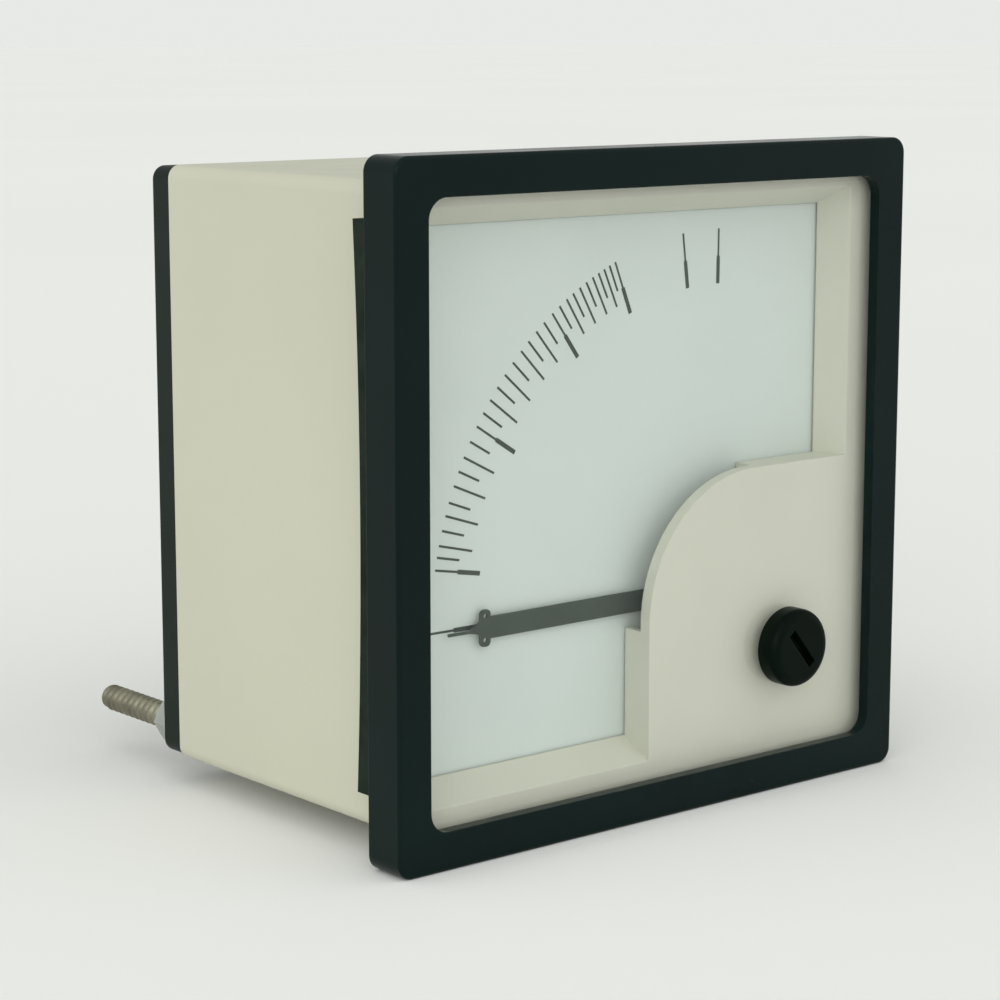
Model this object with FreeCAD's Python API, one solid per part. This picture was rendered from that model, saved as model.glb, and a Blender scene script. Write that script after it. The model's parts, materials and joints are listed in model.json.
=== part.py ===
import FreeCAD, Part
import math
import os

# DIN 96 panel meter with a moving-iron movement and a 90 degree quadrant scale.
# Frame: X right, Y back, Z up, seen from the front. The panel plane is Y = 0,
# the rear face of the bezel flange, and the axis of the body is the Y axis.
# All dimensions in mm.

# bezel, glass and mask
BEZEL_HALF = 48.0
BEZEL_CORNER_R = 2.3
BEZEL_EDGE_R = 0.5
BEZEL_FRONT = -6.8
WINDOW_HALF_X = 42.6
WINDOW_HALF_Z = 42.5
WINDOW_CORNER_R = 3.0
LIP_REAR = -5.0
GLASS_HALF_X = 44.4
GLASS_HALF_Z = 43.7
GLASS_CORNER_R = 1.8
GLASS_POCKET_CLEARANCE = 0.1
GLASS_REAR = -3.4
MASK_HALF_X = 44.8
MASK_HALF_Z = 44.22
MASK_RIM_REAR = -2.0
MASK_FRONT_X = 40.0
MASK_FRONT_TOP = 40.9
MASK_FRONT_BOTTOM = 40.35
MASK_FOOT = 1.75
MASK_FOOT_X = 38.2
MASK_FOOT_TOP = 38.2
MASK_FOOT_BOTTOM = 37.4
MASK_WALL = 1.3
POCKET_GAP = 0.2

# quadrant cover, part of the mask moulding
COVER_LEFT = 0.0
COVER_TOP = 0.5
COVER_OUTER = 42.4
COVER_CORNER_R = 20.8
COVER_WALL = 1.2
COVER_WALL_START = 22.0
COVER_RIM_REAR = -1.5

# side seals behind the bezel flange
SEAL_OUTER_X = 47.4
SEAL_TOP = 39.6
SEAL_BOTTOM = -37.7
SEAL_END_THICKNESS = 3.2
SEAL_MID_THICKNESS = 2.1
SEAL_GROOVE = 0.2
SEAL_GROOVE_MARGIN = 0.1

# case and rear cover
CASE_HALF_X = 44.7
CASE_HALF_Z = 44.12
CASE_MID_Z = 0.47
CASE_CORNER_R = 2.0
CASE_INNER_R = 0.8
CASE_WALL = 1.8
CASE_REAR = 51.1
COVER_HALF_X = 44.6
COVER_HALF_Z = 43.87
COVER_THICKNESS = 4.6
SPIGOT_DEPTH = 2.6
SPIGOT_WALL = 1.6
SPIGOT_GAP = 0.15
BOSS_X = (-36.0, -26.0, 26.0, 36.0)
BOSS_Z = (38.8, -38.8, -38.8, 38.8)
BOSS_HALF_WIDTH = 3.0
BOSS_LENGTH = 8.0
BOSS_HOLE_DEPTH = 6.5

# terminals
TERMINAL_X = 40.5
TERMINAL_Z = -39.7
STUD_R = 2.0
STUD_CORE_R = 1.7
STUD_LENGTH = 22.0
STUD_INNER_R = 1.3
STUD_INNER_LENGTH = 2.7
WASHER_R = 3.6
WASHER_T = 0.8
TERMINAL_NUT_AF = 6.0
TERMINAL_NUT_T = 3.2
LINK_TAG_R = 2.1
LINK_TAG_T = 0.5
LINK_NUT_R = 2.1
LINK_NUT_T = 1.6
LINK_R = 0.75
LEFT_LINK = (
    (-39.0, 49.9, -37.15),
    (-12.0, 45.0, -20.0),
    (-8.0, 30.0, -17.65),
    (1.2, 28.0, -17.65),
)
RIGHT_LINK = (
    (40.3, 49.9, -36.8),
    (40.3, 47.6, -33.5),
    (41.3, 44.5, -28.0),
    (41.3, 30.0, -17.65),
    (34.0, 28.0, -17.65),
)

# pivot of the pointer and plane of the dial
PIVOT_X = 17.6
PIVOT_Z = -17.65
DIAL_FRONT = 2.1
DIAL_T = 0.8
DIAL_HALF = 41.5
DIAL_HOLE_R = 12.0
DIAL_SCREWS = ((34.5, -7.0), (7.0, -35.0))

# pointer
POINTER_FRONT = 1.05
POINTER_T = 0.3
BLADE_HALF_WIDTH = 1.55
BLADE_END = 43.5
LUG_START = 43.45
LUG_END = 45.3
LUG_HALF_HEIGHT = 2.62
LUG_HOLE_OFFSET = 1.68
LUG_HOLE_R = 0.36
NEEDLE_TIP = 50.85
ROOT_R = 2.6
ARM_REACH = 7.6
WEIGHT_R = 1.0
WEIGHT_OFFSET = 7.2

# spindle and bearings
SPINDLE_R = 0.5
SPINDLE_FRONT = -0.85
SPINDLE_REAR = 38.7
BEARING_R = 1.5
BEARING_BORE_R = 0.56
BEARING_BORE_DEPTH = 1.0
FRONT_BEARING = (-1.9, 0.1)
REAR_BEARING = (37.8, 42.2)

# movement frame
PLATE_HALF = 22.0
PLATE_T = 1.2
FRONT_PLATE = 5.0
REAR_PLATE = 38.8
PILLAR_OFFSET = 18.5
PILLAR_R = 1.75
PILLAR_THREAD_R = 1.1
STANDOFF_AF = 5.5
BRIDGE_FRONT = -1.5
BRIDGE_T = 1.0
BRIDGE_HALF_WIDTH = 2.5
BRIDGE_POST_X = 32.2
BRIDGE_POST_R = 2.0

# coil, irons and damping
FLANGE_R = 16.5
FLANGE_T = 1.2
TUBE_OUTER_R = 9.6
TUBE_INNER_R = 8.5
WINDING_R = 15.6
FIXED_IRON_T = 0.6
MOVING_IRON_R = 6.8
MOVING_IRON_T = 0.5
CHAMBER_FRONT = 31.0
CHAMBER_R = 17.0
CHAMBER_WALL = 1.0
VANE_REACH = 15.0

# zero adjuster
KNOB_X = 26.15
KNOB_Z = -26.7
KNOB_R = 5.85
KNOB_FRONT = -8.55
KNOB_REAR = -5.15
KNOB_EDGE_R = 1.4
SLOT_LENGTH = 6.8
SLOT_WIDTH = 1.45
SLOT_DEPTH = 1.6
SLOT_ANGLE = -50.6
STEM_R = 2.6
STEM_REAR = -1.2
STEM_CLEARANCE = 0.06
CLIP = (-1.85, -1.35)
CLIP_R = 3.6
PIN_R = 0.6
PIN_OFFSET = 1.2
PIN_REAR = 0.25

# regulator arm and hairspring
ARM = (-0.42, 0.02)
ARM_BORE_R = 1.56
ARM_RING_R = 3.0
ARM_HALF_WIDTH = 0.9
FORK_GAP = 0.24
FORK_START = 9.8
FORK_END = 12.3
FORK_PRONG = 0.7
SPRING_STUD_OFFSET = 5.3
SPRING_STUD_R = 0.4
SPRING_STUD_ANGLE = 60.0
SPRING = (0.25, 0.65)
SPRING_INNER_R = 1.0
SPRING_OUTER_R = 4.9
SPRING_STRIP = 0.14
SPRING_TURNS = 4.5

UP_Y = FreeCAD.Vector(0, 1, 0)


def vec(x, y, z):
    return FreeCAD.Vector(x, y, z)


def cylinder(r, y0, y1, x, z):
    """Cylinder along Y from y0 to y1 about the line through x, z."""
    return Part.makeCylinder(r, y1 - y0, vec(x, y0, z), UP_Y)


def box(x0, x1, y0, y1, z0, z1):
    return Part.makeBox(x1 - x0, y1 - y0, z1 - z0, vec(x0, y0, z0))


def ring(r_out, r_in, y0, y1, x, z):
    return cylinder(r_out, y0, y1, x, z).cut(cylinder(r_in, y0 - 1, y1 + 1, x, z))


def prism(points, y0, y1):
    """Polygon given as x, z pairs, extruded along Y."""
    corners = [vec(x, y0, z) for x, z in points]
    wire = Part.makePolygon(corners + [corners[0]])
    return Part.Face(wire).extrude(vec(0, y1 - y0, 0))


def rounded_block(half_x, half_z, r, y0, y1, x=0.0, z=0.0):
    """Block along Y with its four Y edges rounded."""
    block = box(x - half_x, x + half_x, y0, y1, z - half_z, z + half_z)
    edges = [e for e in block.Edges if abs(e.tangentAt(e.FirstParameter).y) > 0.9]
    return block.makeFillet(r, edges)


def flat_edges(shape, y):
    """Edges of the shape that lie in the plane Y = y."""
    return [e for e in shape.Edges if all(abs(v.Y - y) < 1e-6 for v in e.Vertexes)]


def frustum(front, y0, rear, y1):
    """Tapered block between two rectangles, each given as low x, high x, low z, high z."""
    rings = []
    for (x0, x1, z0, z1), y in ((front, y0), (rear, y1)):
        rings.append([vec(x0, y, z0), vec(x1, y, z0), vec(x1, y, z1), vec(x0, y, z1)])
    near, far = rings
    outlines = [near, far]
    for i in range(4):
        k = (i + 1) % 4
        outlines.append([near[i], near[k], far[k], far[i]])
    faces = [Part.Face(Part.makePolygon(points + [points[0]])) for points in outlines]
    return Part.makeSolid(Part.makeShell(faces))


def hexagon(across_flats, y0, y1, x, z):
    r = across_flats / math.sqrt(3)
    points = [
        (x + r * math.cos(math.radians(60 * i)), z + r * math.sin(math.radians(60 * i)))
        for i in range(6)
    ]
    return prism(points, y0, y1)


def turned(profile, x, z):
    """Solid of revolution about the Y line through x, z from r, y pairs."""
    corners = [vec(x + r, y, z) for r, y in profile]
    wire = Part.makePolygon(corners + [corners[0]])
    return Part.Face(wire).revolve(vec(x, 0, z), UP_Y, 360)


def group(shapes):
    return Part.makeCompound(shapes)


def polar(r, degrees):
    """Point at r from the pivot, angle counter-clockwise from +X."""
    a = math.radians(degrees)
    return PIVOT_X + r * math.cos(a), PIVOT_Z + r * math.sin(a)


def about_pivot(shape, degrees):
    """Turned about the pivot, counter-clockwise seen from the front."""
    turned_shape = shape.copy()
    turned_shape.rotate(vec(PIVOT_X, 0, PIVOT_Z), UP_Y, -degrees)
    return turned_shape


def pan_screw(x, z, head_r, head_t, shank_r, seat, length):
    """Slotted screw whose head sits in front of the plane Y = seat."""
    head = cylinder(head_r, seat - head_t, seat, x, z)
    shank = cylinder(shank_r, seat, seat + length, x, z)
    slot = box(x - head_r, x + head_r, seat - head_t - 0.1, seat - head_t / 2, z - 0.25, z + 0.25)
    return head.fuse(shank).cut(slot)


def rear_screw(x, z, head_r, head_t, shank_r, seat, length):
    """Slotted screw whose head sits behind the plane Y = seat."""
    head = cylinder(head_r, seat, seat + head_t, x, z)
    shank = cylinder(shank_r, seat - length, seat, x, z)
    slot = box(x - head_r, x + head_r, seat + head_t / 2, seat + head_t + 0.1, z - 0.3, z + 0.3)
    return head.fuse(shank).cut(slot)


def make_bezel():
    body = rounded_block(BEZEL_HALF, BEZEL_HALF, BEZEL_CORNER_R, BEZEL_FRONT, 0.0)
    body = body.makeFillet(BEZEL_EDGE_R, flat_edges(body, BEZEL_FRONT))
    window = rounded_block(WINDOW_HALF_X, WINDOW_HALF_Z, WINDOW_CORNER_R, BEZEL_FRONT - 1, 1.0)
    glass_pocket = rounded_block(
        GLASS_HALF_X + GLASS_POCKET_CLEARANCE,
        GLASS_HALF_Z + GLASS_POCKET_CLEARANCE,
        GLASS_CORNER_R,
        LIP_REAR,
        1.0,
    )
    pocket = rounded_block(
        CASE_HALF_X + POCKET_GAP,
        CASE_HALF_Z + POCKET_GAP,
        CASE_CORNER_R,
        GLASS_REAR,
        1.0,
        z=CASE_MID_Z,
    )
    body = body.cut(window).cut(glass_pocket).cut(pocket)
    low = SEAL_BOTTOM - SEAL_GROOVE_MARGIN
    high = SEAL_TOP + SEAL_GROOVE_MARGIN
    outer = SEAL_OUTER_X + SEAL_GROOVE_MARGIN
    for x0, x1 in ((-outer, -CASE_HALF_X), (CASE_HALF_X, outer)):
        body = body.cut(box(x0, x1, -SEAL_GROOVE, 1.0, low, high))
    return body


def make_glass():
    pane = rounded_block(GLASS_HALF_X, GLASS_HALF_Z, GLASS_CORNER_R, LIP_REAR, GLASS_REAR)
    return pane.cut(cylinder(STEM_R + 0.3, LIP_REAR - 1, GLASS_REAR + 1, KNOB_X, KNOB_Z))


def cover_outline(y0, y1, inset=0.0):
    """Square corner plate with its free corner rounded, made smaller by the inset."""
    left = COVER_LEFT + inset
    top = COVER_TOP - inset
    radius = COVER_CORNER_R - inset
    x = left + radius
    z = top - radius
    reach = radius * math.cos(math.radians(45))
    arc = Part.Arc(vec(left, y0, z), vec(x - reach, y0, z + reach), vec(x, y0, top))
    corners = (
        vec(x, y0, top),
        vec(COVER_OUTER, y0, top),
        vec(COVER_OUTER, y0, -COVER_OUTER),
        vec(left, y0, -COVER_OUTER),
        vec(left, y0, z),
    )
    edges = [arc.toShape()]
    for start, end in zip(corners[:-1], corners[1:]):
        edges.append(Part.makeLine(start, end))
    return Part.Face(Part.Wire(edges)).extrude(vec(0, y1 - y0, 0))


def mask_section(y, grow):
    """Opening of the mask at depth y, grown by a wall thickness."""
    share = (y - GLASS_REAR) / (MASK_FOOT - GLASS_REAR)
    sides = []
    for front, foot in (
        (-MASK_FRONT_X, -MASK_FOOT_X),
        (MASK_FRONT_X, MASK_FOOT_X),
        (-MASK_FRONT_BOTTOM, -MASK_FOOT_BOTTOM),
        (MASK_FRONT_TOP, MASK_FOOT_TOP),
    ):
        sides.append(front + (foot - front) * share + math.copysign(grow, front))
    return sides


def make_mask():
    """Frame with sloping walls and the cover over the pivot, in one moulding."""
    rim = rounded_block(
        MASK_HALF_X, MASK_HALF_Z, CASE_CORNER_R, GLASS_REAR, MASK_RIM_REAR, z=CASE_MID_Z
    )
    front = GLASS_REAR - 1
    rear = MASK_FOOT + 1
    inner = frustum(mask_section(front, 0), front, mask_section(rear, 0), rear)
    outer = frustum(
        mask_section(GLASS_REAR, MASK_WALL), GLASS_REAR, mask_section(MASK_FOOT, MASK_WALL), MASK_FOOT
    )
    frame = rim.fuse(outer).cut(inner)
    plate = cover_outline(GLASS_REAR, MASK_RIM_REAR)
    rib = cover_outline(MASK_RIM_REAR, COVER_RIM_REAR).cut(
        cover_outline(MASK_RIM_REAR - 1, COVER_RIM_REAR + 1, COVER_WALL)
    )
    left_wall = box(
        COVER_LEFT,
        COVER_LEFT + COVER_WALL,
        GLASS_REAR,
        MASK_FOOT,
        -COVER_OUTER,
        COVER_TOP - COVER_WALL_START,
    )
    top_wall = box(
        COVER_LEFT + COVER_WALL_START,
        COVER_OUTER,
        GLASS_REAR,
        MASK_FOOT,
        COVER_TOP - COVER_WALL,
        COVER_TOP,
    )
    walls = left_wall.fuse(top_wall).fuse(rib).common(outer)
    moulding = frame.fuse(plate).fuse(walls)
    stem_hole = cylinder(
        STEM_R + STEM_CLEARANCE, GLASS_REAR - 1, MASK_RIM_REAR + 1, KNOB_X, KNOB_Z
    )
    return moulding.cut(stem_hole).removeSplitter()


def make_side_seal(side):
    """Strip with a slightly hollow rear edge, side is -1 for left and 1 for right."""
    inner = side * CASE_HALF_X
    front = -SEAL_GROOVE
    middle = (SEAL_TOP + SEAL_BOTTOM) / 2
    low_rear = vec(inner, SEAL_END_THICKNESS, SEAL_BOTTOM)
    high_rear = vec(inner, SEAL_END_THICKNESS, SEAL_TOP)
    low_front = vec(inner, front, SEAL_BOTTOM)
    high_front = vec(inner, front, SEAL_TOP)
    edges = [
        Part.Arc(low_rear, vec(inner, SEAL_MID_THICKNESS, middle), high_rear).toShape(),
        Part.makeLine(high_rear, high_front),
        Part.makeLine(high_front, low_front),
        Part.makeLine(low_front, low_rear),
    ]
    face = Part.Face(Part.Wire(edges))
    return face.extrude(vec(side * (SEAL_OUTER_X - CASE_HALF_X), 0, 0))


def make_case():
    inner_x = CASE_HALF_X - CASE_WALL
    inner_z = CASE_HALF_Z - CASE_WALL
    shell = rounded_block(
        CASE_HALF_X, CASE_HALF_Z, CASE_CORNER_R, MASK_RIM_REAR, CASE_REAR, z=CASE_MID_Z
    )
    shell = shell.cut(
        rounded_block(
            inner_x, inner_z, CASE_INNER_R, MASK_RIM_REAR - 1, CASE_REAR + 1, z=CASE_MID_Z
        )
    )
    boss_rear = CASE_REAR - SPIGOT_DEPTH - SPIGOT_GAP
    for x, z in zip(BOSS_X, BOSS_Z):
        wall_z = CASE_MID_Z + math.copysign(inner_z + CASE_WALL / 2, z)
        near_z = z - math.copysign(BOSS_HALF_WIDTH, z)
        boss = box(
            x - BOSS_HALF_WIDTH,
            x + BOSS_HALF_WIDTH,
            boss_rear - BOSS_LENGTH,
            boss_rear,
            min(near_z, wall_z),
            max(near_z, wall_z),
        )
        shell = shell.fuse(boss).cut(cylinder(1.2, boss_rear - BOSS_HOLE_DEPTH, boss_rear + 1, x, z))
    return shell.removeSplitter()


def make_rear_cover():
    cover_rear = CASE_REAR + COVER_THICKNESS
    plate = rounded_block(
        COVER_HALF_X, COVER_HALF_Z, CASE_CORNER_R, CASE_REAR, cover_rear, z=CASE_MID_Z
    )
    plate = plate.makeFillet(0.5, flat_edges(plate, cover_rear))
    outer_x = CASE_HALF_X - CASE_WALL - SPIGOT_GAP
    outer_z = CASE_HALF_Z - CASE_WALL - SPIGOT_GAP
    front = CASE_REAR - SPIGOT_DEPTH
    spigot = rounded_block(outer_x, outer_z, CASE_INNER_R, front, CASE_REAR + 0.5, z=CASE_MID_Z)
    hollow_x = outer_x - SPIGOT_WALL
    hollow_z = outer_z - SPIGOT_WALL
    spigot = spigot.cut(
        rounded_block(
            hollow_x, hollow_z, CASE_INNER_R / 2, front - 1, CASE_REAR, z=CASE_MID_Z
        )
    )
    for side in (-1, 1):
        spigot = spigot.cut(
            cylinder(4.0, front - 1, CASE_REAR, side * TERMINAL_X, TERMINAL_Z)
        )
    cover = plate.fuse(spigot)
    for side in (-1, 1):
        cover = cover.cut(
            cylinder(STUD_CORE_R, CASE_REAR - 1, cover_rear + 1, side * TERMINAL_X, TERMINAL_Z)
        )
    for x, z in zip(BOSS_X, BOSS_Z):
        cover = cover.cut(cylinder(1.7, front - 1, cover_rear + 1, x, z))
        cover = cover.cut(cylinder(3.0, cover_rear - 2.0, cover_rear + 1, x, z))
    for x, z in pillar_places():
        cover = cover.cut(cylinder(1.6, CASE_REAR - 1, cover_rear + 1, x, z))
        cover = cover.cut(cylinder(3.1, cover_rear - 2.4, cover_rear + 1, x, z))
    return cover.removeSplitter()


def make_rear_cover_screws():
    seat = CASE_REAR + COVER_THICKNESS - 2.0
    return group([rear_screw(x, z, 2.7, 1.6, 1.2, seat, 9.0) for x, z in zip(BOSS_X, BOSS_Z)])


def make_standoff_screws():
    seat = CASE_REAR + COVER_THICKNESS - 2.4
    return group([rear_screw(x, z, 2.8, 1.9, 1.5, seat, 6.5) for x, z in pillar_places()])


def make_terminal_stud(side):
    """Stud at its core diameter in the cover and the nut, at its full diameter beyond them."""
    cover_rear = CASE_REAR + COVER_THICKNESS
    nut_rear = cover_rear + WASHER_T + TERMINAL_NUT_T
    tip = cover_rear + STUD_LENGTH
    profile = (
        (0, CASE_REAR - STUD_INNER_LENGTH),
        (STUD_INNER_R, CASE_REAR - STUD_INNER_LENGTH),
        (STUD_INNER_R, CASE_REAR),
        (STUD_CORE_R, CASE_REAR),
        (STUD_CORE_R, nut_rear),
        (STUD_R, nut_rear),
        (STUD_R, tip - 1.5),
        (1.85, tip - 0.95),
        (1.5, tip - 0.45),
        (0.9, tip - 0.1),
        (0, tip),
    )
    return turned(profile, side * TERMINAL_X, TERMINAL_Z)


def terminal_rings(r_out, r_in, y0, y1):
    """One ring on each terminal stud."""
    return group([ring(r_out, r_in, y0, y1, side * TERMINAL_X, TERMINAL_Z) for side in (-1, 1)])


def make_terminal_washers():
    start = CASE_REAR + COVER_THICKNESS
    return terminal_rings(WASHER_R, STUD_CORE_R, start, start + WASHER_T)


def make_terminal_nuts():
    start = CASE_REAR + COVER_THICKNESS + WASHER_T
    nuts = []
    for side in (-1, 1):
        x = side * TERMINAL_X
        blank = hexagon(TERMINAL_NUT_AF, start, start + TERMINAL_NUT_T, x, TERMINAL_Z)
        corner_r = TERMINAL_NUT_AF / math.sqrt(3)
        rounding = turned(
            [
                (0, start),
                (corner_r, start),
                (corner_r, start + TERMINAL_NUT_T - 0.4),
                (corner_r - 0.7, start + TERMINAL_NUT_T),
                (0, start + TERMINAL_NUT_T),
            ],
            x,
            TERMINAL_Z,
        )
        bore = cylinder(STUD_CORE_R, start - 1, start + TERMINAL_NUT_T + 1, x, TERMINAL_Z)
        nuts.append(blank.common(rounding).cut(bore))
    return group(nuts)


def make_link_tags():
    """Eyelets of the two coil links, clamped on the inner ends of the studs."""
    return terminal_rings(LINK_TAG_R, STUD_INNER_R, CASE_REAR - LINK_TAG_T, CASE_REAR)


def make_link_nuts():
    rear = CASE_REAR - LINK_TAG_T
    return terminal_rings(LINK_NUT_R, STUD_INNER_R, rear - LINK_NUT_T, rear)


def make_link(points):
    """Stiff round copper wire bent through the given points."""
    wire = Part.makeSphere(LINK_R, vec(*points[0]))
    for start, end in zip(points[:-1], points[1:]):
        a = vec(*start)
        b = vec(*end)
        run = b.sub(a)
        wire = wire.fuse(Part.makeCylinder(LINK_R, run.Length, a, run))
        wire = wire.fuse(Part.makeSphere(LINK_R, b))
    return wire.removeSplitter()


def pillar_places():
    return [
        (PIVOT_X + sx * PILLAR_OFFSET, PIVOT_Z + sz * PILLAR_OFFSET)
        for sx, sz in ((-1, 1), (1, 1), (1, -1), (-1, -1))
    ]


def make_dial():
    plate = rounded_block(DIAL_HALF, DIAL_HALF, 1.0, DIAL_FRONT, DIAL_FRONT + DIAL_T)
    plate = plate.cut(cylinder(DIAL_HOLE_R, DIAL_FRONT - 1, DIAL_FRONT + 2, PIVOT_X, PIVOT_Z))
    plate = plate.cut(
        cylinder(BRIDGE_POST_R + 0.4, DIAL_FRONT - 1, DIAL_FRONT + 2, BRIDGE_POST_X, PIVOT_Z)
    )
    for x, z in DIAL_SCREWS:
        plate = plate.cut(cylinder(1.0, DIAL_FRONT - 1, DIAL_FRONT + 2, x, z))
    return plate


def make_dial_screws():
    return group([pan_screw(x, z, 1.9, 0.9, 1.0, DIAL_FRONT, 3.6) for x, z in DIAL_SCREWS])


def make_front_plate():
    rear = FRONT_PLATE + PLATE_T
    plate = rounded_block(PLATE_HALF, PLATE_HALF, 3.0, FRONT_PLATE, rear, PIVOT_X, PIVOT_Z)
    plate = plate.cut(cylinder(9.0, FRONT_PLATE - 1, rear + 1, PIVOT_X, PIVOT_Z))
    for x, z in DIAL_SCREWS:
        plate = plate.fuse(cylinder(2.2, DIAL_FRONT + DIAL_T, FRONT_PLATE, x, z))
        plate = plate.cut(cylinder(1.0, DIAL_FRONT, rear + 1, x, z))
    for x, z in pillar_places():
        plate = plate.cut(cylinder(PILLAR_THREAD_R, FRONT_PLATE - 1, rear + 1, x, z))
    return plate.removeSplitter()


def make_rear_plate():
    rear = REAR_PLATE + PLATE_T
    plate = rounded_block(PLATE_HALF, PLATE_HALF, 3.0, REAR_PLATE, rear, PIVOT_X, PIVOT_Z)
    for x, z in pillar_places():
        plate = plate.cut(cylinder(PILLAR_THREAD_R, REAR_PLATE - 1, rear + 1, x, z))
    return plate.cut(cylinder(BEARING_R, REAR_PLATE - 1, rear + 1, PIVOT_X, PIVOT_Z))


def make_pillars():
    front = FRONT_PLATE + PLATE_T
    pillars = []
    for x, z in pillar_places():
        pillar = cylinder(PILLAR_R, front, REAR_PLATE, x, z)
        pillar = pillar.cut(cylinder(PILLAR_THREAD_R, front - 1, front + 4, x, z))
        pillars.append(pillar.cut(cylinder(PILLAR_THREAD_R, REAR_PLATE - 3, REAR_PLATE + 1, x, z)))
    return group(pillars)


def make_pillar_screws():
    places = pillar_places()
    return group([pan_screw(x, z, 2.0, 1.0, PILLAR_THREAD_R, FRONT_PLATE, 4.6) for x, z in places])


def make_standoffs():
    front = REAR_PLATE + PLATE_T
    standoffs = []
    for x, z in pillar_places():
        bar = hexagon(STANDOFF_AF, front, CASE_REAR, x, z)
        bar = bar.fuse(cylinder(PILLAR_THREAD_R, REAR_PLATE - 2.8, front, x, z))
        standoffs.append(bar.cut(cylinder(1.5, CASE_REAR - 5, CASE_REAR + 1, x, z)))
    return group(standoffs)


def make_bridge():
    rear = BRIDGE_FRONT + BRIDGE_T
    bar = box(
        PIVOT_X,
        BRIDGE_POST_X,
        BRIDGE_FRONT,
        rear,
        PIVOT_Z - BRIDGE_HALF_WIDTH,
        PIVOT_Z + BRIDGE_HALF_WIDTH,
    )
    for x in (PIVOT_X, BRIDGE_POST_X):
        bar = bar.fuse(cylinder(BRIDGE_HALF_WIDTH, BRIDGE_FRONT, rear, x, PIVOT_Z))
    post = cylinder(BRIDGE_POST_R, rear, FRONT_PLATE, BRIDGE_POST_X, PIVOT_Z)
    bore = cylinder(BEARING_R, BRIDGE_FRONT - 1, rear + 1, PIVOT_X, PIVOT_Z)
    return bar.fuse(post).cut(bore).removeSplitter()


def make_front_bearing():
    front, rear = FRONT_BEARING
    screw = cylinder(BEARING_R, front, rear, PIVOT_X, PIVOT_Z)
    screw = screw.cut(cylinder(BEARING_BORE_R, rear - BEARING_BORE_DEPTH, rear + 1, PIVOT_X, PIVOT_Z))
    slot = box(PIVOT_X - 2, PIVOT_X + 2, front - 1, front + 0.4, PIVOT_Z - 0.25, PIVOT_Z + 0.25)
    return screw.cut(slot)


def make_rear_bearing():
    front, rear = REAR_BEARING
    screw = cylinder(BEARING_R, front, rear, PIVOT_X, PIVOT_Z)
    screw = screw.cut(cylinder(BEARING_BORE_R, front - 1, front + BEARING_BORE_DEPTH, PIVOT_X, PIVOT_Z))
    slot = box(PIVOT_X - 2, PIVOT_X + 2, rear - 0.6, rear + 1, PIVOT_Z - 0.25, PIVOT_Z + 0.25)
    return screw.cut(slot)


def make_bobbin():
    front = FRONT_PLATE + PLATE_T
    body = cylinder(TUBE_OUTER_R, front, CHAMBER_FRONT, PIVOT_X, PIVOT_Z)
    body = body.fuse(cylinder(FLANGE_R, front, front + FLANGE_T, PIVOT_X, PIVOT_Z))
    body = body.fuse(cylinder(FLANGE_R, CHAMBER_FRONT - FLANGE_T, CHAMBER_FRONT, PIVOT_X, PIVOT_Z))
    return body.cut(cylinder(TUBE_INNER_R, front - 1, CHAMBER_FRONT + 1, PIVOT_X, PIVOT_Z))


def make_winding():
    front = FRONT_PLATE + PLATE_T + FLANGE_T
    return ring(WINDING_R, TUBE_OUTER_R, front, CHAMBER_FRONT - FLANGE_T, PIVOT_X, PIVOT_Z)


def arc_sheet(r_out, thickness, y0, y1, start, end):
    """Piece of a tube wall about the pivot between two angles."""
    tube = ring(r_out, r_out - thickness, y0, y1, PIVOT_X, PIVOT_Z)
    steps = 8
    points = [(PIVOT_X, PIVOT_Z)]
    for i in range(steps + 1):
        points.append(polar(r_out * 2, start + (end - start) * i / steps))
    return tube.common(prism(points, y0 - 1, y1 + 1))


def make_fixed_iron():
    return arc_sheet(TUBE_INNER_R, FIXED_IRON_T, 9.0, 27.0, 150.0, 270.0)


def make_moving_iron():
    sheet = arc_sheet(MOVING_IRON_R, MOVING_IRON_T, 10.0, 26.0, 180.0, 240.0)
    for y in (12.0, 23.5):
        web = box(
            PIVOT_X - MOVING_IRON_R + 0.2, PIVOT_X, y, y + 0.6, PIVOT_Z - 0.8, PIVOT_Z + 0.8
        )
        web = about_pivot(web, 30.0).fuse(cylinder(1.4, y, y + 0.6, PIVOT_X, PIVOT_Z))
        sheet = sheet.fuse(web)
    return sheet.cut(cylinder(SPINDLE_R, 8.0, 30.0, PIVOT_X, PIVOT_Z)).removeSplitter()


def make_chamber():
    cup = cylinder(CHAMBER_R, CHAMBER_FRONT, REAR_PLATE, PIVOT_X, PIVOT_Z)
    inner_r = CHAMBER_R - CHAMBER_WALL
    floor = CHAMBER_FRONT + CHAMBER_WALL
    cup = cup.cut(cylinder(inner_r, floor, REAR_PLATE + 1, PIVOT_X, PIVOT_Z))
    return cup.cut(cylinder(1.2, CHAMBER_FRONT - 1, REAR_PLATE, PIVOT_X, PIVOT_Z))


def make_damping_vane():
    vane = box(PIVOT_X, PIVOT_X + VANE_REACH, 33.0, 36.8, PIVOT_Z - 0.15, PIVOT_Z + 0.15)
    vane = about_pivot(vane, 200.0).fuse(cylinder(1.3, 33.0, 36.8, PIVOT_X, PIVOT_Z))
    return vane.cut(cylinder(SPINDLE_R, 32.0, 38.0, PIVOT_X, PIVOT_Z)).removeSplitter()


def pointer_prism(points, y0, y1):
    """Polygon in pointer terms: reach from the pivot and height, at zero deflection."""
    return prism([(PIVOT_X - reach, PIVOT_Z + height) for reach, height in points], y0, y1)


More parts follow.
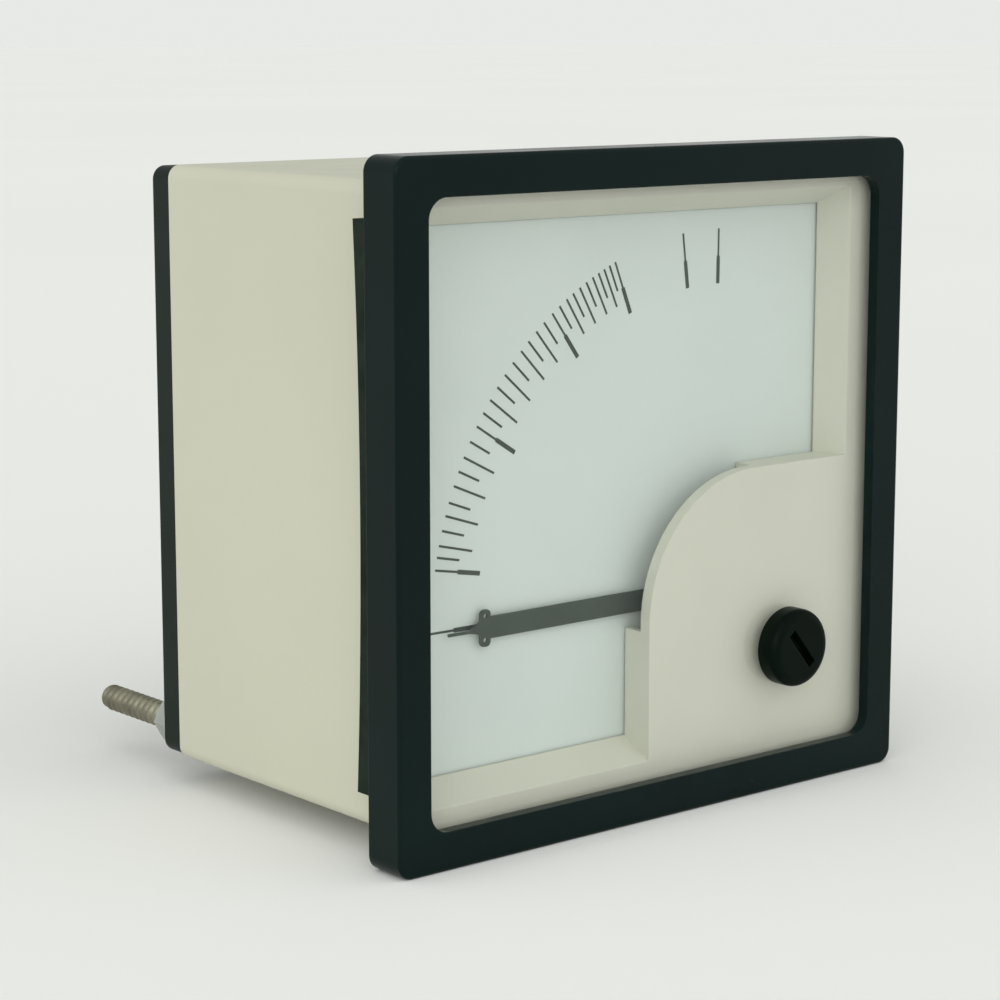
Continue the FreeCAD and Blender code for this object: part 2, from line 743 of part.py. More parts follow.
def make_pointer():
    front = POINTER_FRONT
    rear = POINTER_FRONT + POINTER_T
    half = BLADE_HALF_WIDTH
    flats = (
        [(0, -half), (BLADE_END, -half), (BLADE_END, half), (0, half)],
        [(45.2, -1.0), (45.7, -0.7), (47.2, -0.4), (47.2, 0.0), (46.2, 0.5), (45.2, 1.1)],
        [(47.0, -0.4), (NEEDLE_TIP, -0.36), (NEEDLE_TIP, 0.02), (47.0, 0.02)],
        [(0, -0.6), (-ARM_REACH, -0.6), (-ARM_REACH, 0.6), (0, 0.6)],
        [(-0.6, 0), (-0.6, -ARM_REACH), (0.6, -ARM_REACH), (0.6, 0)],
    )
    blade = cylinder(ROOT_R, front, rear, PIVOT_X, PIVOT_Z)
    for outline in flats:
        blade = blade.fuse(pointer_prism(outline, front, rear))
    lug = rounded_block(
        (LUG_END - LUG_START) / 2,
        LUG_HALF_HEIGHT,
        0.7,
        front,
        rear,
        PIVOT_X - (LUG_START + LUG_END) / 2,
        PIVOT_Z,
    )
    blade = blade.fuse(lug)
    hole_x = PIVOT_X - (LUG_START + LUG_END) / 2
    for offset in (-LUG_HOLE_OFFSET, LUG_HOLE_OFFSET):
        blade = blade.cut(cylinder(LUG_HOLE_R, front - 1, rear + 1, hole_x, PIVOT_Z + offset))
    return blade.cut(cylinder(SPINDLE_R, front - 1, rear + 1, PIVOT_X, PIVOT_Z)).removeSplitter()


def make_pointer_hub():
    return ring(1.6, SPINDLE_R, POINTER_FRONT + POINTER_T, 3.4, PIVOT_X, PIVOT_Z)


def make_balance_weights():
    front = POINTER_FRONT + POINTER_T
    places = ((PIVOT_X + WEIGHT_OFFSET, PIVOT_Z), (PIVOT_X, PIVOT_Z - WEIGHT_OFFSET))
    return group([cylinder(WEIGHT_R, front, front + 1.2, x, z) for x, z in places])


def make_spindle():
    return cylinder(SPINDLE_R, SPINDLE_FRONT, SPINDLE_REAR, PIVOT_X, PIVOT_Z)


def spiral_points(offset, count, y):
    """Points of an Archimedean spiral about the pivot, shifted outwards by offset."""
    end = SPRING_STUD_ANGLE
    points = []
    for i in range(count + 1):
        part = i / count
        r = SPRING_INNER_R + 0.1 + (SPRING_OUTER_R - SPRING_INNER_R - 0.2) * part + offset
        x, z = polar(r, end - 360 * SPRING_TURNS * (1 - part))
        points.append(vec(x, y, z))
    return points


def make_hairspring():
    front, rear = SPRING
    count = int(SPRING_TURNS * 24)
    outside = spiral_points(SPRING_STRIP / 2, count, front)
    inside = spiral_points(-SPRING_STRIP / 2, count, front)
    edges = []
    for points in (outside, inside):
        curve = Part.BSplineCurve()
        curve.interpolate(points)
        edges.append(curve.toShape())
    edges.append(Part.makeLine(outside[0], inside[0]))
    edges.append(Part.makeLine(outside[-1], inside[-1]))
    strip = Part.Face(Part.Wire(Part.__sortEdges__(edges))).extrude(vec(0, rear - front, 0))
    collet = ring(SPRING_INNER_R + 0.1, SPINDLE_R, front - 0.05, rear + 0.2, PIVOT_X, PIVOT_Z)
    return strip.fuse(collet)


def make_regulator_arm():
    """Ring on the front bearing with a fork for the adjuster pin and a spring stud."""
    front, rear = ARM
    half = ARM_HALF_WIDTH
    fork_half = PIN_R + FORK_GAP
    arm = cylinder(ARM_RING_R, front, rear, PIVOT_X, PIVOT_Z)
    shank = box(PIVOT_X, PIVOT_X + FORK_START, front, rear, PIVOT_Z - half, PIVOT_Z + half)
    head = box(
        PIVOT_X + FORK_START - 0.8,
        PIVOT_X + FORK_END,
        front,
        rear,
        PIVOT_Z - fork_half - FORK_PRONG,
        PIVOT_Z + fork_half + FORK_PRONG,
    )
    gap = box(
        PIVOT_X + FORK_START,
        PIVOT_X + FORK_END + 1,
        front - 1,
        rear + 1,
        PIVOT_Z - fork_half,
        PIVOT_Z + fork_half,
    )
    fork = about_pivot(shank.fuse(head).cut(gap), knob_direction())
    x, z = polar(SPRING_STUD_OFFSET, SPRING_STUD_ANGLE)
    tongue = box(PIVOT_X, PIVOT_X + SPRING_STUD_OFFSET, front, rear, PIVOT_Z - 0.7, PIVOT_Z + 0.7)
    tongue = about_pivot(tongue, SPRING_STUD_ANGLE).fuse(cylinder(0.7, front, rear, x, z))
    stud = cylinder(SPRING_STUD_R, rear, SPRING[1], x, z)
    bore = cylinder(ARM_BORE_R, front - 1, rear + 1, PIVOT_X, PIVOT_Z)
    return arm.fuse(fork).fuse(tongue).fuse(stud).cut(bore).removeSplitter()


def knob_direction():
    """Angle of the adjuster axis seen from the pivot."""
    return math.degrees(math.atan2(KNOB_Z - PIVOT_Z, KNOB_X - PIVOT_X))


def make_knob():
    disc = cylinder(KNOB_R, KNOB_FRONT, KNOB_REAR, KNOB_X, KNOB_Z)
    disc = disc.makeFillet(KNOB_EDGE_R, flat_edges(disc, KNOB_FRONT))
    slot = box(
        KNOB_X - SLOT_LENGTH / 2,
        KNOB_X + SLOT_LENGTH / 2,
        KNOB_FRONT - 1,
        KNOB_FRONT + SLOT_DEPTH,
        KNOB_Z - SLOT_WIDTH / 2,
        KNOB_Z + SLOT_WIDTH / 2,
    )
    slot.rotate(vec(KNOB_X, 0, KNOB_Z), UP_Y, -SLOT_ANGLE)
    stem = cylinder(STEM_R, KNOB_REAR, STEM_REAR, KNOB_X, KNOB_Z)
    a = math.radians(knob_direction())
    pin_x = KNOB_X - PIN_OFFSET * math.cos(a)
    pin_z = KNOB_Z - PIN_OFFSET * math.sin(a)
    pin = cylinder(PIN_R, STEM_REAR, PIN_REAR, pin_x, pin_z)
    return disc.cut(slot).fuse(stem).fuse(pin).removeSplitter()


def make_clip():
    return ring(CLIP_R, STEM_R, CLIP[0], CLIP[1], KNOB_X, KNOB_Z)


NODES = {
    "bezel": make_bezel,
    "window_glass": make_glass,
    "mask_frame": make_mask,
    "side_seal_left": lambda: make_side_seal(-1),
    "side_seal_right": lambda: make_side_seal(1),
    "case_shell": make_case,
    "rear_cover": make_rear_cover,
    "rear_cover_screws": make_rear_cover_screws,
    "standoff_screws": make_standoff_screws,
    "terminal_stud_left": lambda: make_terminal_stud(-1),
    "terminal_stud_right": lambda: make_terminal_stud(1),
    "terminal_washers": make_terminal_washers,
    "terminal_nuts": make_terminal_nuts,
    "link_tags": make_link_tags,
    "link_nuts": make_link_nuts,
    "coil_link_left": lambda: make_link(LEFT_LINK),
    "coil_link_right": lambda: make_link(RIGHT_LINK),
    "dial_plate": make_dial,
    "dial_screws": make_dial_screws,
    "movement_front_plate": make_front_plate,
    "movement_rear_plate": make_rear_plate,
    "movement_pillars": make_pillars,
    "pillar_screws": make_pillar_screws,
    "movement_standoffs": make_standoffs,
    "front_bridge": make_bridge,
    "front_bearing_screw": make_front_bearing,
    "rear_bearing_screw": make_rear_bearing,
    "coil_bobbin": make_bobbin,
    "coil_winding": make_winding,
    "fixed_iron": make_fixed_iron,
    "damping_chamber": make_chamber,
    "pointer": make_pointer,
    "pointer_hub": make_pointer_hub,
    "balance_weights": make_balance_weights,
    "pointer_spindle": make_spindle,
    "moving_iron": make_moving_iron,
    "damping_vane": make_damping_vane,
    "hairspring": make_hairspring,
    "regulator_arm": make_regulator_arm,
    "zero_adjuster": make_knob,
    "adjuster_clip": make_clip,
}

os.makedirs("parts", exist_ok=True)
for name, make in NODES.items():
    make().exportStep("parts/" + name + ".step")
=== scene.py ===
import bpy
import json
import math
from mathutils import Matrix, Vector


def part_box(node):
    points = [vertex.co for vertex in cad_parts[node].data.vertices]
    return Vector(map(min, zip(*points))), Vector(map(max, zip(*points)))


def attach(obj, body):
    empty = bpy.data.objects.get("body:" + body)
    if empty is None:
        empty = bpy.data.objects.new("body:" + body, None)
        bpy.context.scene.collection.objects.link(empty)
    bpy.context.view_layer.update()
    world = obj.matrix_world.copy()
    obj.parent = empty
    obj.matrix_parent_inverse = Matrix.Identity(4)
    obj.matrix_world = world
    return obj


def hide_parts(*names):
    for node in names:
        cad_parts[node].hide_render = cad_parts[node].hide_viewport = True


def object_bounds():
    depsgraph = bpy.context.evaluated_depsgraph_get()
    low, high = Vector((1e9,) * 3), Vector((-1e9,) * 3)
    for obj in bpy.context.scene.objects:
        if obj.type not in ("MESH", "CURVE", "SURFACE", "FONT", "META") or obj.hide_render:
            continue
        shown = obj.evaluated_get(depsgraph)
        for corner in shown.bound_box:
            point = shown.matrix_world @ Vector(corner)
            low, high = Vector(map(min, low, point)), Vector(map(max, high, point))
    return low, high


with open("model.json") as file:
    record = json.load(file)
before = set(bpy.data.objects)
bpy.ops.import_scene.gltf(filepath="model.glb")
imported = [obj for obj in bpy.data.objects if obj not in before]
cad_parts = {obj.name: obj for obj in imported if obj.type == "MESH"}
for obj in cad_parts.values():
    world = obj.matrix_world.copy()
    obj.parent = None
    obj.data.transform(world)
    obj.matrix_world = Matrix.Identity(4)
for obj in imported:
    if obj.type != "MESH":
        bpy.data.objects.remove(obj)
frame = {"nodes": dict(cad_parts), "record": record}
cad_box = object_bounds()

MM = 0.001
NODES = frame["nodes"]
SLOTS = {part["node"]: part["material_slot"] for part in frame["record"]["subparts"]}

# Printed scale: x and z of its centre, radii and widths in mm, and degrees up from the level
# left-hand direction. The centre lies 0.25 mm below the axis that the pointer turns on.
SCALE_CENTRE = (17.6, -17.9)
DIAL_FACE = 2.1
INK_THICKNESS = 0.03
TICK_OUTER = 53.2
TICK_THIN = 0.33
TICK_THICK = 0.66
MAJOR_STEP = 49.2
MAJOR_INNER = 45.2
LONG_INNER = 47.2
SHORT_INNER = 49.2
MAJORS = (0.54, 10.0, 32.2, 53.75, 68.2, 82.85, 90.55)
LONG_MINORS = (13.65, 18.15, 22.7, 27.2, 36.7, 41.2, 45.75, 49.75, 57.2, 60.25, 63.2, 65.75)
SHORT_MINORS = (
    11.9, 15.9, 20.15, 24.95, 29.7, 34.45, 38.95, 43.5, 47.7, 51.7, 55.5, 58.7, 61.75, 64.5, 66.95,
)

BOX_QUADS = ((3, 2, 1, 0), (4, 5, 6, 7), (0, 1, 5, 4), (1, 2, 6, 5), (2, 3, 7, 6), (3, 0, 4, 7))

# terminal studs, in mm
THREAD_CREST_R = 2.0
THREAD_ROOT_R = 1.6
THREAD_PITCH = 1.5
THREAD_TIP = 1.5
THREAD_RUN_IN = 0.6
THREAD_STEPS = 260
RIDGE_POWER = 0.7
TIP_POWER = 2.6
NECK_R = 1.7
CORE_R = 1.3
FOOT_R = 1.15
FOOT_CHAMFER = 0.15
AROUND = 40
WELD_DISTANCE = 0.00001

PANE_GAP = 0.00005
FLOOR_HALF = 12.0

# room light, brightest on the camera's side
WORLD_COLOUR = (0.98, 1.0, 0.97)
WORLD_BRIGHT = 1.08
WORLD_DARK = 0.55
WORLD_HORIZON = 0.82
AWAY = (0.64, 0.77, 0.0)
KEY_TOWARDS = (-0.70, -0.60, 0.35)
KEY_POWER = 0.50
KEY_SPREAD = 35.0

CAMERA_PLACE = Vector((-0.26046, -0.28276, 0.06443))
CAMERA_AZIMUTH = math.radians(-39.78)
CAMERA_ELEVATION = math.radians(9.89)
CAMERA_LENS = 98.085
CAMERA_SENSOR = 36.0

# colour sockets of a mix node, and the span that noise mostly stays in
MIX_A = 6
MIX_B = 7
MIX_RESULT = 2
NOISE_LOW = 0.3
NOISE_HIGH = 0.7
BEVEL_SAMPLES = 6


# ---------------------------------------------------------------- materials

class Shader:
    """A material under construction, with short calls for nodes and links."""

    def __init__(self, name):
        self.material = bpy.data.materials.new(name)
        self.material.use_nodes = True
        self.tree = self.material.node_tree
        self.tree.nodes.clear()
        self.out = self.node("ShaderNodeOutputMaterial")
        self.coords = self.node("ShaderNodeTexCoord").outputs["Object"]

    def node(self, kind, **settings):
        made = self.tree.nodes.new(kind)
        for key, value in settings.items():
            setattr(made, key, value)
        return made

    def link(self, source, target):
        self.tree.links.new(source, target)

    def noise(self, scale, detail=4.0, roughness=0.55, stretch=None):
        """Noise factor output over the object, at the given frequency per metre."""
        source = self.coords
        if stretch:
            mapping = self.node("ShaderNodeMapping")
            mapping.inputs["Scale"].default_value = stretch
            self.link(source, mapping.inputs["Vector"])
            source = mapping.outputs["Vector"]
        noise = self.node("ShaderNodeTexNoise")
        noise.inputs["Scale"].default_value = scale
        noise.inputs["Detail"].default_value = detail
        noise.inputs["Roughness"].default_value = roughness
        self.link(source, noise.inputs["Vector"])
        return noise.outputs["Fac"]

    def remap(self, value, low, high, start=NOISE_LOW, end=NOISE_HIGH):
        """Value between start and end turned into low to high."""
        remap = self.node("ShaderNodeMapRange")
        remap.inputs["From Min"].default_value = start
        remap.inputs["From Max"].default_value = end
        remap.inputs["To Min"].default_value = low
        remap.inputs["To Max"].default_value = high
        self.link(value, remap.inputs["Value"])
        return remap.outputs["Result"]

    def math(self, operation, a, b):
        node = self.node("ShaderNodeMath", operation=operation)
        for socket, value in zip(node.inputs, (a, b)):
            if isinstance(value, (int, float)):
                socket.default_value = value
            else:
                self.link(value, socket)
        return node.outputs[0]

    def mix(self, factor, a, b):
        """Colour mix, each of a and b a colour or an output."""
        mix = self.node("ShaderNodeMix", data_type="RGBA")
        self.link(factor, mix.inputs["Factor"])
        for socket, value in ((mix.inputs[MIX_A], a), (mix.inputs[MIX_B], b)):
            if isinstance(value, tuple):
                socket.default_value = (*value, 1.0)
            else:
                self.link(value, socket)
        return mix.outputs[MIX_RESULT]

    def edge_mask(self, radius, sharpness=4.0):
        """1 along convex and concave edges, 0 on flat ground."""
        bevel = self.node("ShaderNodeBevel", samples=BEVEL_SAMPLES)
        bevel.inputs["Radius"].default_value = radius
        flat = self.node("ShaderNodeNewGeometry").outputs["Normal"]
        dot = self.node("ShaderNodeVectorMath", operation="DOT_PRODUCT")
        self.link(bevel.outputs["Normal"], dot.inputs[0])
        self.link(flat, dot.inputs[1])
        off = self.math("SUBTRACT", 1.0, dot.outputs["Value"])
        return self.math("MINIMUM", self.math("MULTIPLY", off, sharpness), 1.0)

    def clouded(self, colour, scale, spread):
        """Colour that drifts a little darker and lighter over the piece."""
        share = self.remap(self.noise(scale), 0.0, 1.0)
        return self.mix(share, shade(colour, 1 - spread), shade(colour, 1 + spread))

    def rubbed(self, base, worn, radius, scale, low, high):
        """Base colour rubbed towards the worn one along edges, in patches."""
        patches = self.edge_mask(radius), self.remap(self.noise(scale), low, high)
        return self.mix(self.math("MULTIPLY", *patches), base, worn)

    def bump(self, height, distance, rounding=0.0):
        bump = self.node("ShaderNodeBump")
        bump.inputs["Distance"].default_value = distance
        bump.inputs["Strength"].default_value = 1.0
        self.link(height, bump.inputs["Height"])
        if rounding:
            bevel = self.node("ShaderNodeBevel", samples=BEVEL_SAMPLES)
            bevel.inputs["Radius"].default_value = rounding
            self.link(bevel.outputs["Normal"], bump.inputs["Normal"])
        return bump.outputs["Normal"]

    def principled(self, colour, roughness, normal, **sockets):
        shader = self.node("ShaderNodeBsdfPrincipled")
        self.link(colour, shader.inputs["Base Color"])
        self.link(roughness, shader.inputs["Roughness"])
        self.link(normal, shader.inputs["Normal"])
        for name, value in sockets.items():
            shader.inputs[name.replace("_", " ")].default_value = value
        return shader.outputs["BSDF"]

    def finish(self, shader):
        self.link(shader, self.out.inputs["Surface"])
        return self.material


def shade(colour, factor):
    return tuple(min(c * factor, 1.0) for c in colour)


def plastic(name, colour, rough, grain, grain_depth, worn, rounding=0.00012, cloud=28.0,
            spread=0.05, specular=0.5, dust=None):
    """Moulded plastic: faint clouds in its colour, fine grain, rubbed edges and a little dust."""
    s = Shader(name)
    base = s.clouded(colour, cloud, spread)
    speck = s.remap(s.noise(2600.0, 2.0), 0.0, 1.0, 0.62, 0.80)
    base = s.mix(s.math("MULTIPLY", speck, 0.35), base, dust or shade(colour, 0.86))
    base = s.rubbed(base, worn, 0.0005, 420.0, 0.15, 0.8)
    roughness = s.remap(s.noise(90.0, 5.0), rough * 0.82, rough * 1.22)
    normal = s.bump(s.noise(grain, 3.0), grain_depth, rounding)
    return s.finish(s.principled(base, roughness, normal, Specular_IOR_Level=specular))


def metal(name, colour, rough, stretch, tarnish, worn):
    """Metal with brushed or turned streaks, tarnish in patches and brighter edges."""
    s = Shader(name)
    base = s.mix(s.remap(s.noise(140.0, 5.0), 0.0, 1.0, 0.38, 0.72), colour, tarnish)
    base = s.rubbed(base, worn, 0.0003, 600.0, 0.2, 0.9)
    streaks = s.noise(1500.0, 3.0, 0.6, stretch)
    roughness = s.remap(streaks, rough * 0.7, rough * 1.35)
    normal = s.bump(streaks, 0.000006, 0.00008)
    return s.finish(s.principled(base, roughness, normal, Metallic=1.0))


def paint(name, colour, rough, worn, cloud, spread, grain_depth, specular=0.4):
    """Thin paint on sheet metal with a slight orange peel."""
    s = Shader(name)
    base = s.clouded(colour, cloud, spread)
    base = s.rubbed(base, worn, 0.00025, 700.0, 0.1, 0.7)
    roughness = s.remap(s.noise(160.0, 4.0), rough * 0.9, rough * 1.12)
    normal = s.bump(s.noise(2200.0, 3.0), grain_depth, 0.00006)
    return s.finish(s.principled(base, roughness, normal, Specular_IOR_Level=specular))


def rubber(name, colour):
    """Dull black rubber, mottled, with soft edges."""
    s = Shader(name)
    base = s.mix(s.remap(s.noise(220.0, 5.0), 0.0, 1.0), shade(colour, 0.7), shade(colour, 1.5))
    roughness = s.remap(s.noise(300.0), 0.55, 0.8)
    normal = s.bump(s.noise(1300.0, 4.0), 0.00004, 0.0003)
    return s.finish(s.principled(base, roughness, normal, Specular_IOR_Level=0.12))


def winding(name, colour):
    """Layers of fine enamelled wire wound round the Y axis."""
    s = Shader(name)
    wave = s.node("ShaderNodeTexWave", wave_type="BANDS", bands_direction="Y")
    wave.inputs["Scale"].default_value = 420.0
    wave.inputs["Distortion"].default_value = 0.6
    s.link(s.coords, wave.inputs["Vector"])
    base = s.mix(s.remap(wave.outputs["Fac"], 0.0, 1.0, 0.0, 1.0), shade(colour, 0.35), colour)
    roughness = s.remap(s.noise(200.0), 0.28, 0.45)
    normal = s.bump(wave.outputs["Fac"], 0.0001)
    return s.finish(s.principled(base, roughness, normal, Metallic=0.7))


def clear_glass(name, tint):
    """Thin flat pane: what is behind it shows straight through, with a fresnel reflection."""
    s = Shader(name)
    through = s.node("ShaderNodeBsdfTransparent")
    haze = s.remap(s.noise(60.0, 5.0), 0.0, 1.0, 0.35, 0.75)
    s.link(s.mix(haze, tint, shade(tint, 0.985)), through.inputs["Color"])
    glossy = s.node("ShaderNodeBsdfGlossy")
    s.link(s.remap(s.noise(150.0, 5.0), 0.01, 0.05), glossy.inputs["Roughness"])
    s.link(s.bump(s.noise(35.0, 2.0), 0.00001), glossy.inputs["Normal"])
    fresnel = s.node("ShaderNodeFresnel")
    fresnel.inputs["IOR"].default_value = 1.45
    front_only = s.math("SUBTRACT", 1.0, s.node("ShaderNodeNewGeometry").outputs["Backfacing"])
    mix = s.node("ShaderNodeMixShader")
    s.link(s.math("MULTIPLY", fresnel.outputs["Fac"], front_only), mix.inputs["Fac"])
    s.link(through.outputs["BSDF"], mix.inputs[1])
    s.link(glossy.outputs["BSDF"], mix.inputs[2])
    return s.finish(mix.outputs["Shader"])


RECIPES = {
    "bezel_black": (plastic, dict(
        colour=(0.0012, 0.0085, 0.0075), rough=0.20, grain=1400.0, grain_depth=0.000002,
        worn=(0.012, 0.022, 0.020), rounding=0.0002, cloud=40.0, spread=0.18, specular=0.11,
        dust=(0.004, 0.012, 0.011))),
    "glass_clear": (clear_glass, dict(tint=(0.985, 0.988, 0.985))),
    "mask_cream": (plastic, dict(
        colour=(0.65, 0.65, 0.555), rough=0.48, grain=1700.0, grain_depth=0.00001,
        worn=(0.70, 0.70, 0.61), rounding=0.0003, cloud=30.0, spread=0.02)),
    "seal_black": (rubber, dict(colour=(0.009, 0.017, 0.011))),
    "case_cream": (plastic, dict(
        colour=(0.578, 0.578, 0.463), rough=0.42, grain=1200.0, grain_depth=0.000008,
        worn=(0.70, 0.70, 0.60), rounding=0.0002, cloud=18.0, spread=0.025, specular=0.25)),
    "cover_black": (plastic, dict(
        colour=(0.007, 0.014, 0.009), rough=0.42, grain=1500.0, grain_depth=0.00001,
        worn=(0.025, 0.034, 0.026), rounding=0.0003, cloud=60.0, spread=0.2, specular=0.12,
        dust=(0.012, 0.020, 0.014))),
    "steel_screw": (metal, dict(
        colour=(0.52, 0.52, 0.49), rough=0.34, stretch=(1.0, 9.0, 1.0),
        tarnish=(0.30, 0.29, 0.26), worn=(0.72, 0.72, 0.70))),
    "stud_plated": (metal, dict(
        colour=(0.33, 0.32, 0.24), rough=0.36, stretch=(1.0, 6.0, 1.0),
        tarnish=(0.16, 0.15, 0.11), worn=(0.58, 0.57, 0.48))),
    "nut_plated": (metal, dict(
        colour=(0.50, 0.52, 0.49), rough=0.40, stretch=(1.0, 5.0, 1.0),
        tarnish=(0.36, 0.37, 0.34), worn=(0.70, 0.71, 0.69))),
    "tag_tinned": (metal, dict(
        colour=(0.60, 0.60, 0.58), rough=0.38, stretch=(6.0, 1.0, 1.0),
        tarnish=(0.42, 0.41, 0.38), worn=(0.74, 0.74, 0.72))),
    "dial_white": (paint, dict(
        colour=(0.66, 0.725, 0.695), rough=0.55, worn=(0.58, 0.62, 0.60), cloud=14.0,
        spread=0.012, grain_depth=0.000004, specular=0.35)),
    "frame_metal": (metal, dict(
        colour=(0.60, 0.61, 0.61), rough=0.36, stretch=(1.0, 1.0, 12.0),
        tarnish=(0.46, 0.46, 0.45), worn=(0.76, 0.76, 0.76))),
    "brass_part": (metal, dict(
        colour=(0.62, 0.46, 0.20), rough=0.26, stretch=(1.0, 14.0, 1.0),
        tarnish=(0.40, 0.28, 0.12), worn=(0.78, 0.62, 0.32))),
    "bobbin_plastic": (plastic, dict(
        colour=(0.10, 0.075, 0.055), rough=0.45, grain=1300.0, grain_depth=0.00001,
        worn=(0.18, 0.15, 0.12))),
    "winding_copper": (winding, dict(colour=(0.50, 0.20, 0.09))),
    "link_copper": (metal, dict(
        colour=(0.66, 0.32, 0.20), rough=0.3, stretch=(9.0, 1.0, 9.0),
        tarnish=(0.38, 0.18, 0.11), worn=(0.80, 0.48, 0.34))),
    "iron_sheet": (metal, dict(
        colour=(0.30, 0.30, 0.29), rough=0.45, stretch=(1.0, 8.0, 1.0),
        tarnish=(0.16, 0.13, 0.11), worn=(0.46, 0.46, 0.45))),
    "pointer_paint": (paint, dict(
        colour=(0.039, 0.056, 0.045), rough=0.5, worn=(0.09, 0.11, 0.09), cloud=90.0,
        spread=0.10, grain_depth=0.000006)),
    "spring_bronze": (metal, dict(
        colour=(0.58, 0.36, 0.16), rough=0.28, stretch=(8.0, 1.0, 8.0),
        tarnish=(0.36, 0.22, 0.11), worn=(0.74, 0.52, 0.30))),
    "knob_black": (plastic, dict(
        colour=(0.0006, 0.004, 0.002), rough=0.34, grain=1300.0, grain_depth=0.000006,
        worn=(0.004, 0.009, 0.007), rounding=0.0002, cloud=120.0, spread=0.2, specular=0.06,
        dust=(0.001, 0.005, 0.003))),
}
MATERIALS = {name: make(name, **values) for name, (make, values) in RECIPES.items()}

for node_name, node in NODES.items():
    node.data.materials.clear()
    node.data.materials.append(MATERIALS[SLOTS[node_name]])


# ---------------------------------------------------------------- pieces

def new_object(name, vertices, faces, slot, body, smooth=False):
    """Piece from points in mm, with its material, that rides a body."""
    mesh = bpy.data.meshes.new(name)
    mesh.from_pydata([Vector(v) * MM for v in vertices], [], faces)
    mesh.validate()
    mesh.update()
    if smooth:
        mesh.polygons.foreach_set("use_smooth", [True] * len(mesh.polygons))
    mesh.materials.append(MATERIALS[slot])
    piece = bpy.data.objects.new(name, mesh)
    bpy.context.scene.collection.objects.link(piece)
    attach(piece, body)
    return piece


def tick_box(degrees, outer, inner, width):
    """Eight corners of one ink stroke lying on the dial, pointing at the scale's centre."""
    a = math.radians(degrees)
    out = Vector((-math.cos(a), math.sin(a)))
    side = Vector((math.sin(a), math.cos(a))) * width / 2
    corners = []
    for y in (DIAL_FACE - INK_THICKNESS, DIAL_FACE):
        for reach, sign in ((outer, 1), (outer, -1), (inner, -1), (inner, 1)):
            x = SCALE_CENTRE[0] + out.x * reach + side.x * sign
            z = SCALE_CENTRE[1] + out.y * reach + side.y * sign
            corners.append((x, y, z))
    return corners


def make_scale():
    """All printed strokes as one piece: heavy ones have a thin outer and a thick inner part."""
    strokes = []
    for degrees in MAJORS:
        strokes.append((degrees, TICK_OUTER, MAJOR_STEP, TICK_THIN))
        strokes.append((degrees, MAJOR_STEP, MAJOR_INNER, TICK_THICK))
    for degrees in LONG_MINORS:
        strokes.append((degrees, TICK_OUTER, LONG_INNER, TICK_THIN))
    for degrees in SHORT_MINORS:
        strokes.append((degrees, TICK_OUTER, SHORT_INNER, TICK_THIN))
    vertices = []
    faces = []
    for stroke in strokes:
        first = len(vertices)
        vertices += tick_box(*stroke)
        faces += [tuple(first + i for i in quad) for quad in BOX_QUADS]
    new_object("dial_scale_marks", vertices, faces, "pointer_paint", "housing")


def thread_radius(y, start, tip, phase):
    """Radius of the threaded stud at height y for one angle, given as a share of a turn."""
    turn = ((y - start) / THREAD_PITCH - phase) % 1.0
    ridge = 0.5 + 0.5 * math.cos(2 * math.pi * turn)
    fade = min(max((y - start) / THREAD_RUN_IN, 0.0), 1.0)
    r = THREAD_CREST_R - (THREAD_CREST_R - THREAD_ROOT_R) * (1 - ridge ** RIDGE_POWER) * fade
    left = tip - y
    if left < THREAD_TIP:
        share = 1 - left / THREAD_TIP
        r *= math.sqrt(max(1 - share ** TIP_POWER, 0.0))
    return r


def stud_rows(foot, tip):
    """Rows of y and radius round the stud: smooth up to the nut's rear face, then the thread."""
    inner_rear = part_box("case_shell")[1][1] / MM
    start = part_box("terminal_nuts")[1][1] / MM
    smooth = (
        (foot, 0.0), (foot, FOOT_R), (foot + FOOT_CHAMFER, CORE_R), (inner_rear, CORE_R),
        (inner_rear, NECK_R), (start, NECK_R), (start, THREAD_CREST_R),
    )
    rows = [[point] * AROUND for point in smooth]
    for i in range(1, THREAD_STEPS + 1):
        y = start + (tip - start) * i / THREAD_STEPS
        rows.append([(y, thread_radius(y, start, tip, k / AROUND)) for k in range(AROUND)])
    return rows


def make_stud(name):
    """Terminal stud with a real thread, in place of the plain one from the frame."""
    low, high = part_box(name)
    x = (low[0] + high[0]) / 2 / MM
    z = (low[2] + high[2]) / 2 / MM
    rows = stud_rows(low[1] / MM, high[1] / MM)
    vertices = []
    faces = []
    for row in rows:
        for k, (y, r) in enumerate(row):
            a = 2 * math.pi * k / AROUND
            vertices.append((x + r * math.cos(a), y, z + r * math.sin(a)))
    for i in range(len(rows) - 1):
        for k in range(AROUND):
            n = (k + 1) % AROUND
            a = i * AROUND
            b = a + AROUND
            faces.append((a + k, b + k, b + n, a + n))
    stud = new_object(name + "_threaded", vertices, faces, "stud_plated", "housing", smooth=True)
    weld = stud.modifiers.new("weld", "WELD")
    weld.merge_threshold = WELD_DISTANCE
    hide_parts(name)


def ease_pane():
    """Shrink the pane by a hair so that its rear face doesn't lie exactly on the mask."""
    shrink = bpy.data.objects["window_glass"].modifiers.new("shrink", "DISPLACE")
    shrink.direction = "NORMAL"
    shrink.mid_level = 0.0
    shrink.strength = -PANE_GAP


make_scale()
for stud_name in ("terminal_stud_left", "terminal_stud_right"):
    make_stud(stud_name)
ease_pane()


# ---------------------------------------------------------------- floor, light and camera

def floor_material():
    s = Shader("studio_floor")
    base = s.mix(s.remap(s.noise(1.5, 2.0), 0.0, 1.0), (0.885, 0.885, 0.875), (0.90, 0.90, 0.89))
    normal = s.bump(s.noise(40.0, 2.0), 0.00001)
    roughness = s.remap(s.noise(3.0, 2.0), 0.78, 0.86)
    return s.finish(s.principled(base, roughness, normal, Specular_IOR_Level=0.0))


